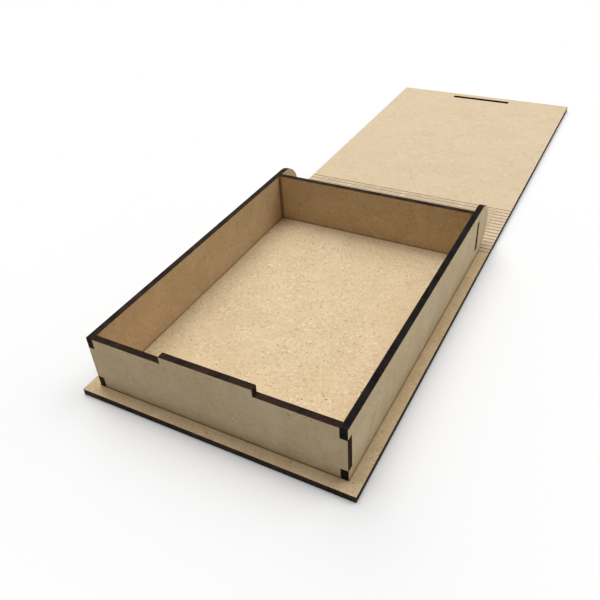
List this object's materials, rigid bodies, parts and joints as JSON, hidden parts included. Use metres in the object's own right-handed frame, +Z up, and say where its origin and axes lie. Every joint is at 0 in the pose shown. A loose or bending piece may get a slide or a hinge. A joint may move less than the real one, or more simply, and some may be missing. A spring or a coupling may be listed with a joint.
{
  "type": "storage box",
  "caption": "Flat book-style box of thin fibreboard: a finger-jointed tray on a one-piece cover whose lid folds over on a slit living hinge and latches on a tab.",
  "frame": {"origin": "centre of the base plate's underside, on the surface the box rests on", "axes": "+Z up, +Y from the front wall to the living hinge and the open lid, +X to the right as seen from the front"},
  "size_m": [0.1244, 0.377, 0.0323],
  "materials": {
    "mdf": "raw matte faces with scorched cut edges"
  },
  "bodies": {
    "tray": {"base_plate": "mdf", "front_wall": "mdf", "back_wall": "mdf", "left_wall": "mdf", "right_wall": "mdf"},
    "slat_01": {"hinge_slat_01": "mdf"},
    "slat_02": {"hinge_slat_02": "mdf"},
    "slat_03": {"hinge_slat_03": "mdf"},
    "slat_04": {"hinge_slat_04": "mdf"},
    "slat_05": {"hinge_slat_05": "mdf"},
    "slat_06": {"hinge_slat_06": "mdf"},
    "slat_07": {"hinge_slat_07": "mdf"},
    "slat_08": {"hinge_slat_08": "mdf"},
    "slat_09": {"hinge_slat_09": "mdf"},
    "slat_10": {"hinge_slat_10": "mdf"},
    "slat_11": {"hinge_slat_11": "mdf"},
    "slat_12": {"hinge_slat_12": "mdf"},
    "slat_13": {"hinge_slat_13": "mdf"},
    "slat_14": {"hinge_slat_14": "mdf"},
    "lid": {"lid_panel": "mdf", "lid_rail": "mdf"}
  },
  "joints": [
    {"name": "spine_fold", "type": "hinge", "parent": "tray", "child": "slat_07", "pos_m": [0, 0.09336, 0.00417], "axis": [1, 0, 0], "range_deg": [0, 83.57]},
    {"name": "lid_fold", "type": "hinge", "parent": "slat_07", "child": "lid", "pos_m": [0, 0.11641, 0.00511], "axis": [1, 0, 0], "range_deg": [0, 96.43]},
    {"name": "slat_01_turn", "type": "hinge", "parent": "tray", "child": "slat_01", "pos_m": [0, 0.08275, 0.0015], "axis": [1, 0, 0], "range_deg": [0, 6.43]},
    {"name": "slat_02_turn", "type": "hinge", "parent": "tray", "child": "slat_02", "pos_m": [0, 0.08494, 0.00162], "axis": [1, 0, 0], "range_deg": [0, 19.29]},
    {"name": "slat_03_turn", "type": "hinge", "parent": "tray", "child": "slat_03", "pos_m": [0, 0.08669, 0.00187], "axis": [1, 0, 0], "range_deg": [0, 32.14]},
    {"name": "slat_04_turn", "type": "hinge", "parent": "tray", "child": "slat_04", "pos_m": [0, 0.08838, 0.00224], "axis": [1, 0, 0], "range_deg": [0, 45]},
    {"name": "slat_05_turn", "type": "hinge", "parent": "tray", "child": "slat_05", "pos_m": [0, 0.09005, 0.00275], "axis": [1, 0, 0], "range_deg": [0, 57.86]},
    {"name": "slat_06_turn", "type": "hinge", "parent": "tray", "child": "slat_06", "pos_m": [0, 0.09171, 0.00339], "axis": [1, 0, 0], "range_deg": [0, 70.71]},
    {"name": "slat_08_turn", "type": "hinge", "parent": "lid", "child": "slat_08", "pos_m": [0, 0.11806, 0.00417], "axis": [-1, 0, 0], "range_deg": [0, 83.57]},
    {"name": "slat_09_turn", "type": "hinge", "parent": "lid", "child": "slat_09", "pos_m": [0, 0.11971, 0.00339], "axis": [-1, 0, 0], "range_deg": [0, 70.71]},
    {"name": "slat_10_turn", "type": "hinge", "parent": "lid", "child": "slat_10", "pos_m": [0, 0.12137, 0.00275], "axis": [-1, 0, 0], "range_deg": [0, 57.86]},
    {"name": "slat_11_turn", "type": "hinge", "parent": "lid", "child": "slat_11", "pos_m": [0, 0.12304, 0.00224], "axis": [-1, 0, 0], "range_deg": [0, 45]},
    {"name": "slat_12_turn", "type": "hinge", "parent": "lid", "child": "slat_12", "pos_m": [0, 0.12473, 0.00187], "axis": [-1, 0, 0], "range_deg": [0, 32.14]},
    {"name": "slat_13_turn", "type": "hinge", "parent": "lid", "child": "slat_13", "pos_m": [0, 0.12648, 0.00162], "axis": [-1, 0, 0], "range_deg": [0, 19.29]},
    {"name": "slat_14_turn", "type": "hinge", "parent": "lid", "child": "slat_14", "pos_m": [0, 0.12867, 0.0015], "axis": [-1, 0, 0], "range_deg": [0, 6.43]}
  ],
  "couplings": [
    {"joint": "lid_fold", "follows": "spine_fold", "ratio": 1.1538},
    {"joint": "slat_01_turn", "follows": "spine_fold", "ratio": 0.076923},
    {"joint": "slat_02_turn", "follows": "spine_fold", "ratio": 0.23077},
    {"joint": "slat_03_turn", "follows": "spine_fold", "ratio": 0.38462},
    {"joint": "slat_04_turn", "follows": "spine_fold", "ratio": 0.53846},
    {"joint": "slat_05_turn", "follows": "spine_fold", "ratio": 0.69231},
    {"joint": "slat_06_turn", "follows": "spine_fold", "ratio": 0.84615},
    {"joint": "slat_08_turn", "follows": "spine_fold", "ratio": 1},
    {"joint": "slat_09_turn", "follows": "spine_fold", "ratio": 0.84615},
    {"joint": "slat_10_turn", "follows": "spine_fold", "ratio": 0.69231},
    {"joint": "slat_11_turn", "follows": "spine_fold", "ratio": 0.53846},
    {"joint": "slat_12_turn", "follows": "spine_fold", "ratio": 0.38462},
    {"joint": "slat_13_turn", "follows": "spine_fold", "ratio": 0.23077},
    {"joint": "slat_14_turn", "follows": "spine_fold", "ratio": 0.076923}
  ]
}
